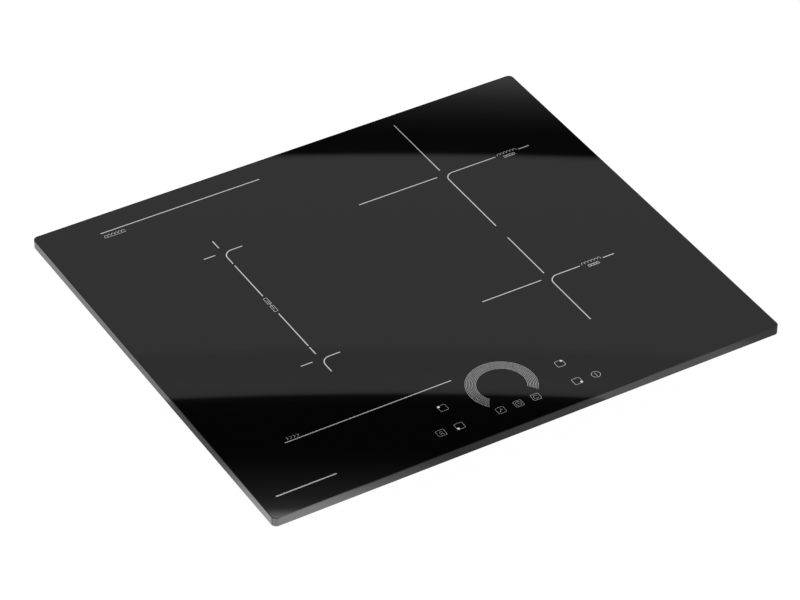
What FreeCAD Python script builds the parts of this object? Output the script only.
import FreeCAD, Part
import Sketcher
import math
import os
import re

# Built-in induction hob, four zones, 590 x 520 mm glass for a 560 x 490 mm cut-out.
# Frame: origin at the middle of the tray's underside, +Z up, +X to the right for
# the cook, -Y towards the cook. Millimetres throughout.

V = FreeCAD.Vector
doc = FreeCAD.newDocument("InductionHob")
sheet = doc.addObject("Spreadsheet::Sheet", "Dims")

SIZES = [
    # overall
    ("glass_width", 590, "glass panel, left to right"),
    ("glass_depth", 520, "glass panel, front to back"),
    ("glass_thick", 4, "glass-ceramic panel thickness"),
    ("glass_top", 58, "top of the glass above the tray's underside"),
    ("corner_rad", 6, "corner radius of glass and frame in plan"),
    ("edge_bevel", 0.6, "ground bevel along the glass's top edge"),
    ("frame_deep", 6, "carrier frame height below the glass"),
    ("frame_low", 48, "underside of the carrier frame"),
    ("ledge_low", 51, "underside of the frame's inner ledge"),
    ("glass_low", 54, "underside of the glass"),
    ("ledge_half_x", 269, "half width of the opening in the ledge"),
    ("ledge_half_y", 235, "half depth of the opening in the ledge"),
    ("rebate_half_x", 278.5, "half width of the rebate that takes the tray"),
    ("rebate_half_y", 243.5, "half depth of the rebate that takes the tray"),
    ("seal_thick", 2, "foam tape under the frame, pressed"),
    ("seal_out_x", 292, "half width of the foam tape"),
    ("seal_out_y", 257, "half depth of the foam tape"),
    ("seal_wide", 9, "width of the foam tape"),
    # tray
    ("sheet_thick", 1, "tray sheet"),
    ("pan_half_x", 276, "half width of the tray's upper pan"),
    ("pan_half_y", 240, "half depth of the tray's upper pan"),
    ("step_z", 31, "underside of the tray's step"),
    ("low_half_x", 258, "half width of the tray's lower box"),
    ("low_front_y", -204, "front of the lower box"),
    ("low_back_y", 236, "back of the lower box"),
    ("notch_x", 126, "left end of the terminal notch"),
    ("notch_y", 196, "front wall of the terminal notch"),
    ("lug_screw_r", 2, "M4 side screw"),
    # coil support plate
    ("plate_low", 36, "underside of the coil support plate"),
    ("plate_thick", 1.5, "coil support plate"),
    ("plate_half_x", 273, "half width of the coil support plate"),
    ("plate_half_y", 237, "half depth of the coil support plate"),
    # coils
    ("zone_left_x", -135, "centre line of the two left zones"),
    ("zone_right_x", 134.6, "centre line of the two right zones"),
    ("zone_back_y", 135.6, "centres of the back zones"),
    ("zone_front_left_y", -69.6, "centre of the front left zone"),
    ("zone_front_right_y", -72.8, "centre of the front right zone"),
    ("coil_rad_left", 86, "winding radius, left zones"),
    ("coil_rad_back_right", 95, "winding radius, back right zone"),
    ("coil_rad_front_right", 72, "winding radius, front right zone"),
    ("coil_inner_rad", 19, "inner radius of every winding"),
    ("carrier_low", 45.5, "underside of the coil carriers"),
    ("carrier_thick", 3.5, "coil carrier disc"),
    ("winding_thick", 4, "litz winding height"),
    ("ferrite_thick", 4, "ferrite bars"),
    ("ferrite_wide", 12, "ferrite bars"),
    ("guide_rad", 2, "coil guide pin"),
    ("guide_hole_rad", 2.35, "guide hole in the support plate"),
    ("mica_thick", 0.5, "insulation sheet under the glass"),
    # blowers
    ("blower_x", 190, "blower centre, left and right of the middle"),
    ("blower_y", -146, "blower centre"),
    ("blower_half", 44, "half side of the blower casing"),
    ("blower_low", 1, "underside of the blower casing"),
    ("blower_deep", 25, "blower casing height"),
    ("shaft_rad", 1.5, "blower shaft"),
    ("rotor_bore_rad", 1.55, "bore of the impeller hub"),
    # boards
    ("board_thick", 1.6, "circuit boards"),
    ("board_low", 6, "underside of the power boards"),
    # terminal box
    ("hinge_y", 232.6, "terminal cover hinge axis"),
    ("hinge_z", 28, "terminal cover hinge axis"),
    ("pin_rad", 1, "terminal cover hinge pins"),
    ("pin_bore_rad", 1.05, "bores for the terminal cover's pins"),
    ("gland_bore_rad", 6, "cable inlet bore"),
    ("bead_deep", 0.45, "depth of the stiffening beads coined into the tray's floor"),
    ("bead_round", 14, "section radius of the beads"),
    ("gland_y", 214, "cable inlet axis"),
    ("gland_z", 16, "cable inlet axis"),
    # worktop brackets
    ("bracket_x", 267, "bracket pivots, left and right of the middle"),
    ("bracket_y", 120, "bracket pivots, front and back of the middle"),
    ("bracket_low", 16, "underside of the worktop brackets"),
    ("bracket_thick", 2, "worktop bracket strip"),
    ("bracket_wide", 12, "worktop bracket strip"),
    ("bracket_reach", 44, "pivot to bracket tip"),
    ("bracket_screw_r", 2.5, "M5 bracket screw"),
    ("bracket_bore_r", 2.55, "bore in the bracket"),
    # touch controls
    ("key_row_y", -230.4, "front row of touch keys"),
    ("key_upper_y", -198.4, "upper touch keys"),
    ("dial_x", 0.5, "centre of the curved touch slider"),
    ("dial_y", -197.2, "centre of the curved touch slider"),
    ("dial_r", 31, "mean radius of the curved touch slider"),
    ("touch_low", 46.4, "underside of the touch board"),
]
for row, (alias, value, note) in enumerate(SIZES, start=1):
    sheet.set("A%d" % row, note)
    sheet.set("B%d" % row, str(value))
    sheet.setAlias("B%d" % row, alias)
doc.recompute()
DIM = {alias: float(value) for alias, value, _ in SIZES}


def bound(expr):
    """Write the sheet's name in front of each alias in an expression."""
    return re.sub(r"[A-Za-z_][A-Za-z_0-9]*",
                  lambda m: "Dims." + m.group(0) if m.group(0) in DIM else m.group(0), str(expr))


def num(expr):
    """The present value of such an expression."""
    if isinstance(expr, (int, float)):
        return float(expr)
    total = expr
    for name in sorted(DIM, key=len, reverse=True):
        total = re.sub(r"\b%s\b" % name, "(%r)" % DIM[name], total)
    return arithmetic(total)


def arithmetic(text):
    """Sums, differences, products and quotients of plain numbers."""
    tokens = re.findall(r"\d+\.?\d*(?:e-?\d+)?|[-+*/()]", text)
    position = [0]

    def factor():
        token = tokens[position[0]]
        position[0] += 1
        if token == "(":
            value = expression()
            position[0] += 1
            return value
        if token == "-":
            return -factor()
        if token == "+":
            return factor()
        return float(token)

    def term():
        value = factor()
        while position[0] < len(tokens) and tokens[position[0]] in "*/":
            token = tokens[position[0]]
            position[0] += 1
            other = factor()
            value = value * other if token == "*" else value / other
        return value

    def expression():
        value = term()
        while position[0] < len(tokens) and tokens[position[0]] in "+-":
            token = tokens[position[0]]
            position[0] += 1
            other = term()
            value = value + other if token == "+" else value - other
        return value

    return expression()


NODES = []


def node(obj, label):
    """Keep a finished sub-part under the name of its node."""
    obj.Label = label
    NODES.append(obj)
    return obj


# ---------------------------------------------------------------- primitives
def box(name, x0, x1, y0, y1, z0, z1):
    b = doc.addObject("Part::Box", name)
    b.setExpression("Length", bound("(%s)-(%s)" % (x1, x0)))
    b.setExpression("Width", bound("(%s)-(%s)" % (y1, y0)))
    b.setExpression("Height", bound("(%s)-(%s)" % (z1, z0)))
    b.setExpression("Placement.Base.x", bound(x0))
    b.setExpression("Placement.Base.y", bound(y0))
    b.setExpression("Placement.Base.z", bound(z0))
    return b


AXES = {"X": FreeCAD.Rotation(V(0, 1, 0), 90), "Y": FreeCAD.Rotation(V(1, 0, 0), -90),
        "-Y": FreeCAD.Rotation(V(1, 0, 0), 90), "-X": FreeCAD.Rotation(V(0, 1, 0), -90),
        "Z": FreeCAD.Rotation()}


def rod(name, x, y, z, radius, length, axis="Z"):
    c = doc.addObject("Part::Cylinder", name)
    c.Placement = FreeCAD.Placement(V(0, 0, 0), AXES[axis])
    c.setExpression("Radius", bound(radius))
    c.setExpression("Height", bound(length))
    c.setExpression("Placement.Base.x", bound(x))
    c.setExpression("Placement.Base.y", bound(y))
    c.setExpression("Placement.Base.z", bound(z))
    return c


def hexagon(name, x, y, z, across, length, axis="Z"):
    p = doc.addObject("Part::Prism", name)
    p.Polygon = 6
    p.Placement = FreeCAD.Placement(V(0, 0, 0), AXES[axis])
    p.setExpression("Circumradius", bound("(%s)/1.7320508" % across))
    p.setExpression("Height", bound(length))
    p.setExpression("Placement.Base.x", bound(x))
    p.setExpression("Placement.Base.y", bound(y))
    p.setExpression("Placement.Base.z", bound(z))
    return p


def fuse(name, parts):
    if len(parts) == 1:
        return parts[0]
    f = doc.addObject("Part::MultiFuse", name)
    f.Shapes = parts
    return f


def cut(name, base, tools):
    c = doc.addObject("Part::Cut", name)
    c.Base = base
    c.Tool = fuse(name + "_tools", tools)
    return c


def group(name, parts):
    """Separate identical solids that share one node."""
    g = doc.addObject("Part::Compound", name)
    g.Links = parts
    return g


# ---------------------------------------------------------------- PartDesign
def new_body(name):
    return doc.addObject("PartDesign::Body", name)


def origin_plane(body, role="XY_Plane"):
    return [f for f in body.Origin.OriginFeatures if f.Role == role][0]


def outline(body, name, z, loops):
    """A sketch of closed polygons at height z. Each vertex is tied to its place."""
    sk = body.newObject("Sketcher::SketchObject", name)
    sk.AttachmentSupport = [(origin_plane(body), "")]
    sk.MapMode = "FlatFace"
    sk.setExpression("AttachmentOffset.Base.z", bound(z))
    first = 0
    for loop in loops:
        n = len(loop)
        at = [V(num(x), num(y), 0) for x, y in loop]
        for i in range(n):
            sk.addGeometry(Part.LineSegment(at[i], at[(i + 1) % n]), False)
        for i in range(n):
            sk.addConstraint(Sketcher.Constraint("Coincident", first + i, 2, first + (i + 1) % n, 1))
        for i, (x, y) in enumerate(loop):
            k = sk.addConstraint(Sketcher.Constraint("DistanceX", -1, 1, first + i, 1, at[i].x))
            sk.setExpression("Constraints[%d]" % k, bound(x))
            k = sk.addConstraint(Sketcher.Constraint("DistanceY", -1, 1, first + i, 1, at[i].y))
            sk.setExpression("Constraints[%d]" % k, bound(y))
        first += n
    return sk


def rectangle(half_x, half_y):
    return [("-(%s)" % half_x, "-(%s)" % half_y), (half_x, "-(%s)" % half_y),
            (half_x, half_y), ("-(%s)" % half_x, half_y)]


def patch(x0, x1, y0, y1):
    return [(x0, y0), (x1, y0), (x1, y1), (x0, y1)]


def pad(body, name, sketch, length, down=False):
    p = body.newObject("PartDesign::Pad", name)
    p.Profile = sketch
    p.setExpression("Length", bound(length))
    p.Reversed = down
    doc.recompute()
    return p


def pocket(body, name, sketch, length, up=False):
    before = body.Shape.Volume
    p = body.newObject("PartDesign::Pocket", name)
    p.Profile = sketch
    p.setExpression("Length", bound(length))
    p.Reversed = up
    doc.recompute()
    if not body.Shape.Volume < before - 1e-6:
        raise RuntimeError("pocket %s cut nothing" % name)
    return p


def upright_edges(feature, inside):
    """Names of the vertical edges whose middle passes a test."""
    names = []
    for i, e in enumerate(feature.Shape.Edges):
        if len(e.Vertexes) != 2:
            continue
        a, b = e.Vertexes[0].Point, e.Vertexes[1].Point
        if abs(a.x - b.x) < 1e-6 and abs(a.y - b.y) < 1e-6 and inside((a + b) * 0.5):
            names.append("Edge%d" % (i + 1))
    return names


def round_off(body, name, feature, edges, radius):
    f = body.newObject("PartDesign::Fillet", name)
    f.Base = (feature, edges)
    f.setExpression("Radius", bound(radius))
    doc.recompute()
    return f


def bevel(body, name, feature, edges, size):
    f = body.newObject("PartDesign::Chamfer", name)
    f.Base = (feature, edges)
    f.setExpression("Size", bound(size))
    doc.recompute()
    return f


def edges_at(feature, z, inside=lambda p: True):
    names = []
    for i, e in enumerate(feature.Shape.Edges):
        bb = e.BoundBox
        if abs(bb.ZMin - z) < 1e-5 and abs(bb.ZMax - z) < 1e-5 and inside(bb.Center):
            names.append("Edge%d" % (i + 1))
    return names


# ================================================================ glass panel
b = new_body("GlassPanel")
p = pad(b, "GlassPad", outline(b, "GlassOutline", "glass_low", [rectangle("glass_width/2", "glass_depth/2")]), "glass_thick")
p = round_off(b, "GlassCorners", p, upright_edges(p, lambda q: True), "corner_rad")
p = bevel(b, "GlassBevel", p, edges_at(p, DIM["glass_top"]), "edge_bevel")
node(b, "glass_panel")

# ================================================================ carrier frame
# A ring flush with the glass all round. Its ledge carries the glass and its
# rebate takes the tray. Eight lugs hang inside the tray wall for side screws.
b = new_body("CarrierFrame")
p = pad(b, "FramePad", outline(b, "FrameOutline", "frame_low", [rectangle("glass_width/2", "glass_depth/2")]), "frame_deep")
p = round_off(b, "FrameCorners", p, upright_edges(p, lambda q: True), "corner_rad")
p = pocket(b, "FrameOpening", outline(b, "FrameOpeningOutline", "glass_low", [rectangle("ledge_half_x", "ledge_half_y")]), "frame_deep+1")
p = pocket(b, "FrameRebate", outline(b, "FrameRebateOutline", "ledge_low", [rectangle("rebate_half_x", "rebate_half_y")]), "ledge_low-frame_low+1")
ring = [rectangle("glass_width/2-9", "glass_depth/2-9"), rectangle("glass_width/2-14", "glass_depth/2-14")]
p = pocket(b, "BondGroove", outline(b, "BondGrooveOutline", "glass_low", ring), "0.8")
lugs = []
for sx in (-1, 1):
    for y in (-150, 150):
        x0, x1 = ("pan_half_x-5.5", "pan_half_x-1.3") if sx > 0 else ("-pan_half_x+1.3", "-pan_half_x+5.5")
        lugs.append(patch(x0, x1, str(y - 8), str(y + 8)))
for sy in (-1, 1):
    for x in (-215, 215):
        y0, y1 = ("ledge_half_y+0.2", "pan_half_y-1.3") if sy > 0 else ("-pan_half_y+1.3", "-ledge_half_y-0.2")
        lugs.append(patch(str(x - 8), str(x + 8), y0, y1))
p = pad(b, "FrameLugs", outline(b, "FrameLugsOutline", "ledge_low", lugs), "11", down=True)
screw_holes = []
for sx in (-1, 1):
    for y in (-150, 150):
        screw_holes.append(rod("LugHole", "%d*(pan_half_x-7)" % sx, y, 45.5, "lug_screw_r", 6, "X" if sx > 0 else "-X"))
for sy in (-1, 1):
    for x in (-215, 215):
        screw_holes.append(rod("LugHole", x, "%d*(pan_half_y-7)" % sy, 45.5, "lug_screw_r", 6, "Y" if sy > 0 else "-Y"))
node(cut("FrameCut", b, screw_holes), "carrier_frame")

# ================================================================ adhesive bead
b = new_body("AdhesiveBead")
p = pad(b, "BeadPad", outline(b, "BeadOutline", "glass_low-0.8", ring), "0.8")
node(b, "adhesive_bead")

# ================================================================ foam seal
b = new_body("WorktopSeal")
p = pad(b, "SealPad", outline(b, "SealOutline", "frame_low-seal_thick", [
    rectangle("seal_out_x", "seal_out_y"), rectangle("seal_out_x-seal_wide", "seal_out_y-seal_wide")]), "seal_thick")
node(b, "worktop_seal")

# ================================================================ bottom tray
# One pressed sheet: a shallow upper pan inside the cut-out, a step, and a deeper
# box for the electronics. A notch at the back right leaves room for the mains
# terminal box.
def low_plan(inset):
    i = inset
    return [("-low_half_x+%g" % i, "low_front_y+%g" % i), ("low_half_x-%g" % i, "low_front_y+%g" % i),
            ("low_half_x-%g" % i, "notch_y-%g" % i), ("notch_x-%g" % i, "notch_y-%g" % i),
            ("notch_x-%g" % i, "low_back_y-%g" % i), ("-low_half_x+%g" % i, "low_back_y-%g" % i)]


def shelled(body, feature, z):
    """Hollow the piece from its open face at height z, leaving one sheet's thickness."""
    face = ["Face%d" % (i + 1) for i, q in enumerate(feature.Shape.Faces)
            if abs(q.BoundBox.ZMin - z) < 1e-5 and abs(q.BoundBox.ZMax - z) < 1e-5]
    shell = body.newObject("PartDesign::Thickness", body.Name + "Shell")
    shell.Base = (feature, face)
    shell.setExpression("Value", bound("sheet_thick"))
    shell.Reversed = True
    shell.Join = 1
    doc.recompute()
    if not body.Shape.Volume < 450000:
        raise RuntimeError("shell volume %.0f" % body.Shape.Volume)
    return shell


# upper pan: a shallow pan whose floor is cut out over the lower box
b = new_body("UpperPan")
p = pad(b, "UpperPanPad", outline(b, "UpperPanOutline", "step_z", [rectangle("pan_half_x", "pan_half_y")]), "ledge_low-step_z")
p = round_off(b, "UpperPanCorners", p, upright_edges(p, lambda q: True), "8")
p = shelled(b, p, DIM["ledge_low"])
p = pocket(b, "UpperPanOpening", outline(b, "UpperPanOpeningOutline", "step_z+sheet_thick", [low_plan(1.0)]), "sheet_thick+1")
p = round_off(b, "UpperPanOpeningCorners", p, upright_edges(p, lambda q: q.z < DIM["step_z"] + 1 and abs(q.x) < DIM["low_half_x"] and abs(q.y) < DIM["low_back_y"]), "4")
upper_pan = b

# lower box: holds the electronics, notched at the back right for the terminals
b = new_body("LowerBox")
p = pad(b, "LowerBoxPad", outline(b, "LowerBoxOutline", "0", [low_plan(0)]), "step_z")
p = round_off(b, "LowerBoxCorners", p, upright_edges(p, lambda q: True), "5")
p = bevel(b, "LowerBoxHem", p, edges_at(p, 0.0), "0.8")
p = shelled(b, p, DIM["step_z"])
lower_box = b

tray_tools = []
pan_tools = []
# air intakes: slots under each blower, longest in the middle of the round field
for sx in (-1, 1):
    for k in range(-5, 6):
        half = math.sqrt(33.0 ** 2 - (k * 6.0) ** 2)
        tray_tools.append(box("IntakeSlot", "%d*blower_x+(%g)-1.6" % (sx, k * 6.0), "%d*blower_x+(%g)+1.6" % (sx, k * 6.0),
                              "blower_y-%.3f" % half, "blower_y+%.3f" % half, -1, 3))
# air outlets: upright slots along the front and back walls of the lower box
for x0 in (-110, 30):
    for k in range(14):
        tray_tools.append(box("FrontSlot", x0 + k * 6, x0 + k * 6 + 3.2, "low_front_y-2", "low_front_y+4", 9, 24))
for x0 in (-230, -60):
    for k in range(20):
        tray_tools.append(box("BackSlot", x0 + k * 6, x0 + k * 6 + 3.2, "low_back_y-4", "low_back_y+2", 9, 24))
for sx in (-1, 1):
    for k in range(12):
        tray_tools.append(box("SideSlot", "%d*low_half_x-3" % sx, "%d*low_half_x+3" % sx, k * 6 - 36, k * 6 - 32.8, 9, 24))
# stiffening beads coined into the underside of the floor, shallower than the sheet
for y in (-72, -8, 56, 120, 184):
    for x0 in (-226, 26):
        tray_tools.append(rod("FloorBead", x0, y, "bead_deep-bead_round", "bead_round", 200 if y < 150 or x0 < 0 else 84, "X"))
for x in (-60, 0, 60):
    tray_tools.append(rod("FrontBead", x, -186, "bead_deep-bead_round", "bead_round", 84, "Y"))
# holes for the side screws, the bracket screws, the lead from the terminal box
for sx in (-1, 1):
    for y in (-150, 150):
        pan_tools.append(rod("SideScrewHole", "%d*(pan_half_x-3)" % sx, y, 45.5, "lug_screw_r", 6, "X" if sx > 0 else "-X"))
for sy in (-1, 1):
    for x in (-215, 215):
        pan_tools.append(rod("SideScrewHole", x, "%d*(pan_half_y-3)" % sy, 45.5, "lug_screw_r", 6, "Y" if sy > 0 else "-Y"))
for sx in (-1, 1):
    for sy in (-1, 1):
        pan_tools.append(rod("BracketScrewHole", "%d*bracket_x" % sx, "%d*bracket_y" % sy, 29, "bracket_screw_r", 5))
tray_tools.append(rod("LeadHole", 190, "notch_y-4", 24.5, 2.2, 8, "Y"))
node(cut("UpperPanCut", upper_pan, pan_tools), "tray_upper_pan")
node(cut("LowerBoxCut", lower_box, tray_tools), "tray_lower_box")


def pan_screw(name, x, y, z, axis, radius, shank, head_r, head_h, start=0.0):
    """A pan-head screw with its shank along axis from (x, y, z), head at the end."""
    d = {"X": V(1, 0, 0), "-X": V(-1, 0, 0), "Y": V(0, 1, 0), "-Y": V(0, -1, 0), "Z": V(0, 0, 1)}[axis]
    base = rod(name + "Shank", x, y, z, radius, shank, axis)
    end = [str(q) + "+(%g)" % (c * shank) for q, c in zip((x, y, z), d)]
    head = rod(name + "Head", end[0], end[1], end[2], head_r, head_h, axis)
    deep = [str(q) + "+(%g)" % (c * (shank + head_h * 0.45)) for q, c in zip((x, y, z), d)]
    cross = hexagon(name + "Drive", deep[0], deep[1], deep[2], head_r * 0.9, head_h, axis)
    return cut(name, fuse(name + "Blank", [base, head]), [cross])


screws = []
for sx in (-1, 1):
    for y in (-150, 150):
        screws.append(pan_screw("SideScrew", "%d*(pan_half_x-5.5)" % sx, y, 45.5, "X" if sx > 0 else "-X", "lug_screw_r", 5.5, 3.6, 1.8))
for sy in (-1, 1):
    for x in (-215, 215):
        screws.append(pan_screw("SideScrew", x, "%d*(pan_half_y-4.5)" % sy, 45.5, "Y" if sy > 0 else "-Y", "lug_screw_r", 4.5, 3.6, 1.8))
node(group("TrayScrews", screws), "tray_screws")

def routed(points, radius, fillet_share=0.42):
    """A round lead along straight runs joined by tangent arcs."""
    edges = []
    start = points[0]
    for i in range(1, len(points) - 1):
        a, c, d = points[i - 1], points[i], points[i + 1]
        u, w = (a - c), (d - c)
        run = min(u.Length, w.Length)
        u.normalize()
        w.normalize()
        turn = math.pi - math.acos(max(-1, min(1, u.dot(w))))
        reach = run * fillet_share
        rad = reach / math.tan(turn / 2)
        t0, t1 = c + u * reach, c + w * reach
        mid_dir = (u + w)
        mid_dir.normalize()
        centre = c + mid_dir * (rad / math.cos(turn / 2))
        mid = centre - mid_dir * rad
        edges.append(Part.LineSegment(start, t0).toShape())
        edges.append(Part.Arc(t0, mid, t1).toShape())
        start = t1
    edges.append(Part.LineSegment(start, points[-1]).toShape())
    spine = Part.Wire(edges)
    first = (points[1] - points[0])
    section = Part.Wire(Part.makeCircle(radius, points[0], first))
    pipe = spine.makePipeShell([section], True, True)
    return pipe, spine.Length


# ================================================================ zones
ZONES = [
    # name, x, y, winding radius, first guide pin's angle
    ("back_left", "zone_left_x", "zone_back_y", "coil_rad_left", 67.5),
    ("front_left", "zone_left_x", "zone_front_left_y", "coil_rad_left", 67.5),
    ("back_right", "zone_right_x", "zone_back_y", "coil_rad_back_right", 22.5),
    ("front_right", "zone_right_x", "zone_front_right_y", "coil_rad_front_right", 67.5),
]
STAND = [(-267, -175), (-267, 0), (-267, 175), (267, -175), (267, 0), (267, 175), (-150, -222), (150, -222)]


def pin_places(zone):
    name, zx, zy, zr, start = zone
    out = []
    for k in range(4):
        a = math.radians(start + 90 * k)
        reach = num(zr) - 12
        out.append(("%s+(%.4f)" % (zx, reach * math.cos(a)), "%s+(%.4f)" % (zy, reach * math.sin(a))))
    return out


# ================================================================ coil support plate
b = new_body("SupportPlate")
p = pad(b, "PlatePad", outline(b, "PlateOutline", "plate_low", [rectangle("plate_half_x", "plate_half_y")]), "plate_thick")
p = round_off(b, "PlateCorners", p, upright_edges(p, lambda q: True), "8")
plate_tools = []
for zone in ZONES:
    plate_tools.append(rod("SensorHole", zone[1], zone[2], "plate_low-1", 9, 4))
    for x, y in pin_places(zone):
        plate_tools.append(rod("GuideHole", x, y, "plate_low-1", "guide_hole_rad", 4))
for x, y in STAND:
    plate_tools.append(rod("PlateScrewHole", x, y, "plate_low-1", 1.5, 4))
node(cut("PlateCut", b, plate_tools), "coil_support_plate")

spacers = []
plate_screws = []
for x, y in STAND:
    spacers.append(cut("Spacer", hexagon("SpacerBlank", x, y, "step_z+sheet_thick", 7, "plate_low-step_z-sheet_thick"),
                       [rod("SpacerBore", x, y, "step_z", 1.5, 8)]))
    plate_screws.append(pan_screw("PlateScrew", x, y, "step_z+sheet_thick+0.5", "Z", 1.5, 5.0, 3.0, 1.6))
node(group("PlateSpacers", spacers), "plate_spacers")
node(group("PlateScrews", plate_screws), "plate_screws")

# ================================================================ insulation sheet
b = new_body("InsulationSheet")
p = pad(b, "MicaPad", outline(b, "MicaOutline", "glass_low-mica_thick", [patch("-262", "262", "-160", "232")]), "mica_thick")
p = round_off(b, "MicaCorners", p, upright_edges(p, lambda q: True), "10")
node(b, "insulation_sheet")

# ================================================================ coil assemblies
for zone in ZONES:
    name, zx, zy, zr, start = zone
    x, y, r = num(zx), num(zy), num(zr)
    # carrier: disc with a raised rim and hub ring, a bridge across the hub for the
    # sensor, and four guide pins that slide in the support plate
    disc = cut("CarrierDisc", rod("CarrierBlank", zx, zy, "carrier_low", "%s+2" % zr, "carrier_thick"),
               [rod("CarrierBore", zx, zy, "carrier_low-1", 15, "carrier_thick+2")])
    rim = cut("CarrierRim", rod("RimBlank", zx, zy, "carrier_low+carrier_thick", "%s+2" % zr, 2.5),
              [rod("RimBore", zx, zy, "carrier_low+carrier_thick-1", "%s+0.2" % zr, 5)])
    hub = cut("CarrierHub", rod("HubBlank", zx, zy, "carrier_low+carrier_thick", "coil_inner_rad-0.4", 2.5),
              [rod("HubBore", zx, zy, "carrier_low+carrier_thick-1", 15, 5)])
    bridge = box("SensorBridge", "%s-16" % zx, "%s+16" % zx, "%s-4" % zy, "%s+4" % zy, "carrier_low", "carrier_low+1.5")
    pins = [rod("GuidePin", px, py, "plate_low-1", "guide_rad", "carrier_low-plate_low+1.2") for px, py in pin_places(zone)]
    node(fuse("CoilCarrier_" + name, [disc, rim, hub, bridge] + pins), "coil_carrier_" + name)

    # winding: concentric turns of litz wire, rounded on top
    turns = int((r - DIM["coil_inner_rad"]) / 4.3)
    pitch = (r - DIM["coil_inner_rad"]) / turns
    low = DIM["carrier_low"] + DIM["carrier_thick"]
    shoulder = low + DIM["winding_thick"] - 1.2
    edges = []
    r0 = DIM["coil_inner_rad"]
    edges.append(Part.LineSegment(V(r, 0, low), V(r0, 0, low)).toShape())
    edges.append(Part.LineSegment(V(r0, 0, low), V(r0, 0, shoulder)).toShape())
    for k in range(turns):
        a = r0 + k * pitch
        edges.append(Part.Arc(V(a, 0, shoulder), V(a + pitch / 2, 0, shoulder + 1.2), V(a + pitch, 0, shoulder)).toShape())
    edges.append(Part.LineSegment(V(r, 0, shoulder), V(r, 0, low)).toShape())
    face = Part.Face(Part.Wire(edges))
    coil = doc.addObject("Part::Feature", "Winding_" + name)
    coil.Shape = face.revolve(V(0, 0, 0), V(0, 0, 1), 360)
    coil.Placement = FreeCAD.Placement(V(x, y, 0), FreeCAD.Rotation())
    node(coil, "coil_winding_" + name)

    # ferrite bars, glued under the carrier like spokes between the guide pins
    bars = []
    for k in range(8):
        angle = start + 22.5 + 45 * k
        bar = doc.addObject("Part::Box", "FerriteBar")
        bar.setExpression("Length", bound("%s-4-26" % zr))
        bar.setExpression("Width", bound("ferrite_wide"))
        bar.setExpression("Height", bound("ferrite_thick"))
        rot = FreeCAD.Rotation(V(0, 0, 1), angle)
        corner = rot.multVec(V(26, -DIM["ferrite_wide"] / 2, 0))
        bar.Placement = FreeCAD.Placement(V(x + corner.x, y + corner.y, DIM["carrier_low"] - DIM["ferrite_thick"]), rot)
        bars.append(bar)
    node(group("Ferrites_" + name, bars), "ferrite_bars_" + name)

    # springs round the guide pins, pressing the carrier up
    wire_r = 0.4
    z0 = DIM["plate_low"] + DIM["plate_thick"] + wire_r + 0.02
    z1 = DIM["carrier_low"] - wire_r - 0.02
    per_turn, turns_s = 8, 3.5
    steps = int(per_turn * turns_s)
    line = [V(3.4 * math.cos(2 * math.pi * k / per_turn), 3.4 * math.sin(2 * math.pi * k / per_turn),
              (z1 - z0) * k / steps) for k in range(steps + 1)]
    wound, wound_len = routed(line, wire_r, 0.45)
    if abs(wound.Volume - math.pi * wire_r ** 2 * wound_len) > 0.02 * wound.Volume:
        raise RuntimeError("spring volume is off")
    springs = []
    for px, py in pin_places(zone):
        s = wound.copy()
        s.Placement = FreeCAD.Placement(V(num(px), num(py), z0), FreeCAD.Rotation())
        springs.append(s)
    spring = doc.addObject("Part::Feature", "Springs_" + name)
    spring.Shape = Part.makeCompound(springs)
    node(spring, "coil_springs_" + name)

    # temperature sensor: a cap on the bridge, just under the glass
    cap = rod("SensorCap", zx, zy, "carrier_low+1.5", 5, 5.5)
    foot = rod("SensorFoot", zx, zy, "carrier_low+1.5", 7, 2)
    node(fuse("Sensor_" + name, [cap, foot]), "temperature_sensor_" + name)

# ================================================================ board holder
holder = [box("HolderBase", -250, 250, -92, 186, 1, 3)]
posts = []
BOARDS = {"left": (-246, -64), "right": (64, 246)}
for side, (x0, x1) in BOARDS.items():
    for x in (x0 + 6, x1 - 6):
        for y in (-84, 48, 178):
            posts.append(rod("HolderPost", x, y, 3, 3.5, "board_low-3"))
for x in (-46, 46):
    for y in (-84, 178):
        posts.append(rod("HolderPost", x, y, 3, 3.5, "board_low-3"))
node(fuse("BoardHolder", holder + posts), "board_holder")

# ================================================================ power boards
boards = []
for side, (x0, x1) in BOARDS.items():
    b = new_body("PowerBoard_" + side)
    p = pad(b, "PowerBoardPad_" + side, outline(b, "PowerBoardOutline_" + side, "board_low", [patch(x0, x1, -90, 184)]), "board_thick")
    p = round_off(b, "PowerBoardCorners_" + side, p, upright_edges(p, lambda q: True), "3")
    boards.append(b)
node(group("PowerBoards", boards), "power_boards")
node(box("FilterBoard", -52, 52, -90, 184, "board_low", "board_low+board_thick"), "filter_board")

top = "board_low+board_thick"
# heat sinks: a base with eight fins along the air stream from the blower
sinks = []
for side in (-1, 1):
    c = 190 * side
    sink = [box("SinkBase", c - 21, c + 21, -88, 120, top, top + "+4")]
    for k in range(8):
        f = c - 21 + k * (42 - 1.6) / 7
        sink.append(box("SinkFin", "%.4f" % f, "%.4f" % (f + 1.6), -88, 120, top + "+4", top + "+19"))
    sinks.append(fuse("HeatSink_%s" % ("left" if side < 0 else "right"), sink))
node(group("HeatSinks", sinks), "heat_sinks")

chips = []
for side in (-1, 1):
    for y in (-70, -34, 2, 38, 74):
        x0, x1 = (162.5, 169) if side > 0 else (-169, -162.5)
        chips.append(box("PowerSwitch", x0, x1, y, y + 16, top, top + "+16"))
node(group("PowerSwitches", chips), "power_switches")

caps = []
for side in (-1, 1):
    for y in (-80, -40, 0, 40):
        x0, x1 = (118, 150) if side > 0 else (-150, -118)
        caps.append(box("FilmCapacitor", x0, x1, y, y + 26, top, top + "+19"))
node(group("FilmCapacitors", caps), "film_capacitors")

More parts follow.
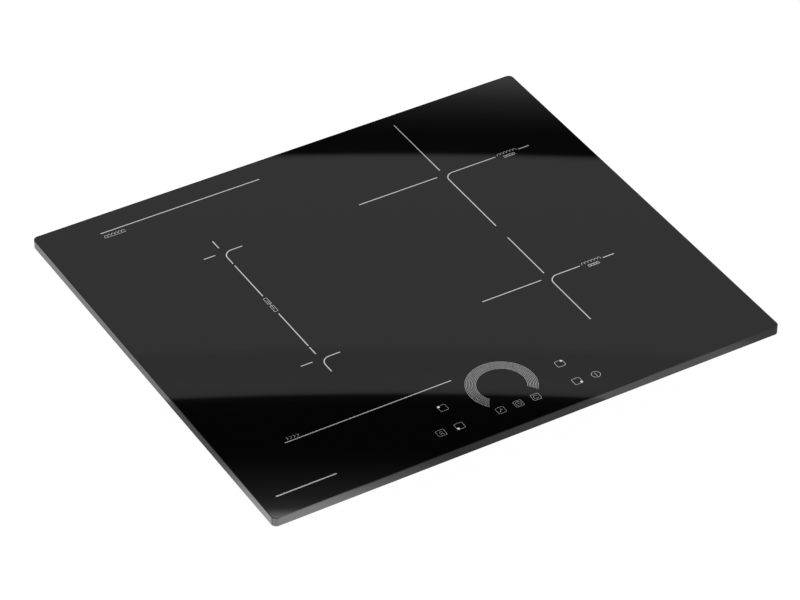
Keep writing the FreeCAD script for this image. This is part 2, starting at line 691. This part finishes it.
cans = []
for side in (-1, 1):
    for y in (96, 122, 148):
        cans.append(rod("CanCapacitor", 134 * side, y, top, 10, 18))
node(group("CanCapacitors", cans), "can_capacitors")

chokes = []
for x in (-24, 24):
    for y in (-50, 20):
        t = doc.addObject("Part::Torus", "ChokeRing")
        t.Radius1 = 13
        t.Radius2 = 6
        t.Placement = FreeCAD.Placement(V(x, y, DIM["board_low"] + DIM["board_thick"] + 6), FreeCAD.Rotation())
        chokes.append(t)
node(group("Chokes", chokes), "filter_chokes")

relays = [box("Relay", x, x + 22, y, y + 28, top, top + "+16") for x in (-36, 14) for y in (70, 120)]
node(group("Relays", relays), "relays")

# ================================================================ blowers
for side in ("left", "right"):
    sx = -1 if side == "left" else 1
    cx, cy = "%d*blower_x" % sx, "blower_y"
    low, high = "blower_low", "blower_low+blower_deep"
    casing = cut("BlowerCasing_" + side,
                 fuse("BlowerShell_" + side, [
                     box("CasingBlock", cx + "-blower_half", cx + "+blower_half", cy + "-blower_half", cy + "+blower_half", low, high)]),
                 [rod("CasingHollow", cx, cy, low + "+1.5", 40, "blower_deep-3"),
                  box("CasingOutlet", cx + "-24", cx + "+24", cy + "+18", cy + "+blower_half+1", low + "+1.5", high + "-1.5"),
                  rod("CasingIntake", cx, cy, low + "-1", 30, 3)])
    shaft = rod("BlowerShaft_" + side, cx, cy, low + "+3", "shaft_rad", "blower_deep-4")
    node(fuse("BlowerHousing_" + side, [casing, shaft]), "blower_housing_" + side)

    b = new_body("Impeller_" + side)
    x, y = num(cx), num(cy)
    sk = b.newObject("Sketcher::SketchObject", "ImpellerProfile_" + side)
    sk.AttachmentSupport = [(origin_plane(b, "XZ_Plane"), "")]
    sk.MapMode = "FlatFace"
    prof = [("rotor_bore_rad", "5"), ("35", "5"), ("35", "6.4"), ("12", "6.4"), ("11", "20"), ("rotor_bore_rad", "20")]
    at = [V(num(p0), num(p1), 0) for p0, p1 in prof]
    for i in range(6):
        sk.addGeometry(Part.LineSegment(at[i], at[(i + 1) % 6]), False)
    for i in range(6):
        sk.addConstraint(Sketcher.Constraint("Coincident", i, 2, (i + 1) % 6, 1))
    for i in range(6):
        k = sk.addConstraint(Sketcher.Constraint("DistanceX", -1, 1, i, 1, at[i].x))
        sk.setExpression("Constraints[%d]" % k, bound(prof[i][0]))
        k = sk.addConstraint(Sketcher.Constraint("DistanceY", -1, 1, i, 1, at[i].y))
        sk.setExpression("Constraints[%d]" % k, bound(prof[i][1]))
    rev = b.newObject("PartDesign::Revolution", "ImpellerHub_" + side)
    rev.Profile = sk
    rev.ReferenceAxis = (sk, ["V_Axis"])
    rev.Angle = 360
    doc.recompute()
    blade = pad(b, "ImpellerBlade_" + side, outline(b, "BladeOutline_" + side, "6.2",
                [[("25", "-3.0"), ("26", "-4.0"), ("34.6", "1.0"), ("33.8", "2.0")]]), "13.8")
    pattern = b.newObject("PartDesign::PolarPattern", "ImpellerBlades_" + side)
    pattern.Originals = [blade]
    pattern.Axis = ([f for f in b.Origin.OriginFeatures if f.Role == "Z_Axis"][0], [""])
    pattern.Angle = 360
    pattern.Occurrences = 22
    b.Tip = pattern
    doc.recompute()
    hoop = pad(b, "ImpellerHoop_" + side, outline(b, "HoopOutline_" + side, "20", [
        [("%.4f" % (35 * math.cos(math.radians(10 * k))), "%.4f" % (35 * math.sin(math.radians(10 * k)))) for k in range(36)],
        [("%.4f" % (30 * math.cos(math.radians(10 * k))), "%.4f" % (30 * math.sin(math.radians(10 * k)))) for k in range(36)]]), "1.4", down=True)
    b.Placement = FreeCAD.Placement(V(x, y, 0), FreeCAD.Rotation())
    b.setExpression("Placement.Base.x", bound(cx))
    b.setExpression("Placement.Base.y", bound(cy))
    doc.recompute()
    node(b, "blower_impeller_" + side)

# ================================================================ touch controls
holder = cut("TouchHolder", box("TouchHolderBlock", -108, 108, -236, -159, "plate_low+plate_thick", "touch_low"),
             [box("TouchHolderHollow", -105, 105, -233, -162, "plate_low+plate_thick+2", "touch_low+1")])
node(holder, "touch_board_holder")
node(box("TouchBoard", -107, 107, -235.6, -159.6, "touch_low", "touch_low+board_thick"), "touch_board")
pillar_low = "touch_low+board_thick"
pillar_tall = "glass_low-touch_low-board_thick"
pillars = []
for x, y in ((-89.8, "key_row_y"), (-68.6, "key_row_y"), (-20.2, "key_row_y"), (0.2, "key_row_y"), (20.6, "key_row_y"),
             (69, "key_row_y"), (91, "key_row_y"), (-68.6, "key_upper_y"), (69, "key_upper_y")):
    pillars.append(rod("KeyPillar", x, y, pillar_low, 3.4, pillar_tall))
for k in range(10):
    a = math.radians(-34 + 248.0 * k / 9)
    pillars.append(rod("SliderPillar", "dial_x+dial_r*(%.5f)" % math.cos(a), "dial_y+dial_r*(%.5f)" % math.sin(a),
                       pillar_low, 3.4, pillar_tall))
node(group("TouchPillars", pillars), "touch_pillars")
node(box("Display", "dial_x-18", "dial_x+18", "dial_y-8", "dial_y+8", pillar_low, "glass_low-0.5"), "display_module")

# ribbon lead: a flat strip from the touch board down through the plate's front edge
ribbon = [box("RibbonTop", -10, 10, -157, -150, "plate_low+plate_thick", "plate_low+plate_thick+0.6"),
          box("RibbonRun", -10, 10, -159, -157, "plate_low+plate_thick", "touch_low+0.8")]
node(fuse("Ribbon", ribbon), "ribbon_lead")

# ================================================================ mains terminal box
house = cut("TerminalHousing",
            fuse("TerminalShell", [
                box("TerminalBlockOut", 132, 232, 196, 230, 3, 29),
                box("EarLeft", 132, 134, 229, 235.6, 25.2, 30.6),
                box("EarRight", 230, 232, 229, 235.6, 25.2, 30.6)]),
            [box("TerminalHollow", 134, 230, 198, 231, 5, 27),
             rod("EarBoreLeft", 131, "hinge_y", "hinge_z", "pin_bore_rad", 4, "X"),
             rod("EarBoreRight", 229, "hinge_y", "hinge_z", "pin_bore_rad", 4, "X"),
             rod("LeadHoleHousing", 190, 194, 24.5, 2.2, 6, "Y"),
             hexagon("GlandHole", 229, "gland_y", "gland_z", 17, 4, "X")])
node(house, "terminal_housing")
block = cut("TerminalBlock", box("TerminalBlockBody", 140, 208, 198, 212, 7, 20),
            [rod("TerminalWell", 148 + 13 * k, 207, 13.5, 3.2, 8, "Y") for k in range(5)])
node(block, "terminal_block")
node(group("TerminalScrews", [pan_screw("TerminalScrew", 148 + 13 * k, 207, 13.5, "Y", 2, 2.5, 3.2, 2.2) for k in range(5)]), "terminal_screws")
cover = fuse("TerminalCoverAll", [
    box("CoverPlate", 135, 229, 230.4, 232.4, 4, 28),
    rod("CoverBarrel", 134.4, "hinge_y", "hinge_z", 2, 95.2, "X"),
    rod("CoverPins", 132.2, "hinge_y", "hinge_z", "pin_rad", 99.6, "X"),
    box("CoverTab", 174, 188, 232.2, 234.2, 4, 7)])
node(cover, "terminal_cover")
gland = cut("CableGland", fuse("GlandSolid", [
    rod("GlandTube", 226, "gland_y", "gland_z", 8, 24, "X"),
    hexagon("GlandFlats", 229, "gland_y", "gland_z", 17, 4, "X"),
    hexagon("GlandNutOut", 232, "gland_y", "gland_z", 21, 7, "X"),
    hexagon("GlandNutIn", 226, "gland_y", "gland_z", 18, 4, "X")]),
    [rod("GlandBore", 224, "gland_y", "gland_z", "gland_bore_rad", 30, "X")])
node(gland, "cable_gland")

# earth and mains lead inside the hob, from the terminal box to the filter board
path = [V(190, 200, 24.5), V(190, 172, 24.5), V(120, 160, 24.5), V(46, 160, 24.5), V(46, 160, 8.2)]
lead_r = 2.0


lead, lead_len = routed(path, lead_r)
if abs(lead.Volume - math.pi * lead_r ** 2 * lead_len) > 0.01 * lead.Volume:
    raise RuntimeError("lead volume is off")
f = doc.addObject("Part::Feature", "MainsLead")
f.Shape = lead
node(f, "internal_mains_lead")

# ================================================================ worktop brackets
bracket_screws = []
for name, sx, sy in (("front_left", -1, -1), ("back_left", -1, 1), ("front_right", 1, -1), ("back_right", 1, 1)):
    # stowed along the tray's side: left ones point back, right ones point forward
    along = 1 if sx < 0 else -1
    cx, cy = "%d*bracket_x" % sx, "%d*bracket_y" % sy
    z0, z1 = "bracket_low", "bracket_low+bracket_thick"
    y_far = cy + "+%d*(bracket_reach-6)" % along
    lo, hi = (cy, y_far) if along > 0 else (y_far, cy)
    tip = cy + "+%d*(bracket_reach-6)" % along
    parts = [box("BracketStrip", cx + "-bracket_wide/2", cx + "+bracket_wide/2", lo, hi, z0, z1),
             rod("BracketEye", cx, cy, z0, "bracket_wide/2", "bracket_thick"),
             rod("BracketTip", cx, tip, z0, "bracket_wide/2", "bracket_thick"),
             box("BracketTooth", cx + "-5", cx + "+5", tip + "-1", tip + "+1", z1, z1 + "+2.5")]
    node(cut("Bracket_" + name, fuse("BracketBlank_" + name, parts),
             [rod("BracketBore", cx, cy, z0 + "-1", "bracket_bore_r", 4)]), "worktop_bracket_" + name)
    sleeve = rod("BracketSleeve", cx, cy, z1 + "+0.3", 4.5, "step_z-bracket_low-bracket_thick-0.3")
    shank = rod("BracketShank", cx, cy, "bracket_low-0.3", "bracket_screw_r", "step_z+3-bracket_low+0.3")
    head = hexagon("BracketHead", cx, cy, "bracket_low-3.3", 8, 3)
    bracket_screws.append(fuse("BracketScrew", [sleeve, shank, head]))
node(group("BracketScrews", bracket_screws), "bracket_screws")

# ================================================================ checks and export
doc.recompute()
bad = [o.Name for o in doc.Objects if any(s in ("Invalid", "Error") for s in o.State)]
if bad:
    raise RuntimeError("objects failed: %s" % bad[:10])
labels = [o.Label for o in NODES]
if len(set(labels)) != len(labels):
    raise RuntimeError("two nodes share a label")
for o in NODES:
    if o.Shape.isNull() or not o.Shape.isValid() or not o.Shape.Solids:
        raise RuntimeError("bad shape: %s" % o.Label)
os.makedirs("parts", exist_ok=True)
for o in NODES:
    o.Shape.exportStep(os.path.join("parts", o.Label + ".step"))
    bb = o.Shape.BoundBox
    print("%-34s solids %2d  x %.1f..%.1f  y %.1f..%.1f  z %.1f..%.1f  %.0f mm3" % (
        o.Label, len(o.Shape.Solids), bb.XMin, bb.XMax, bb.YMin, bb.YMax, bb.ZMin, bb.ZMax, o.Shape.Volume))
print(len(NODES), "nodes")
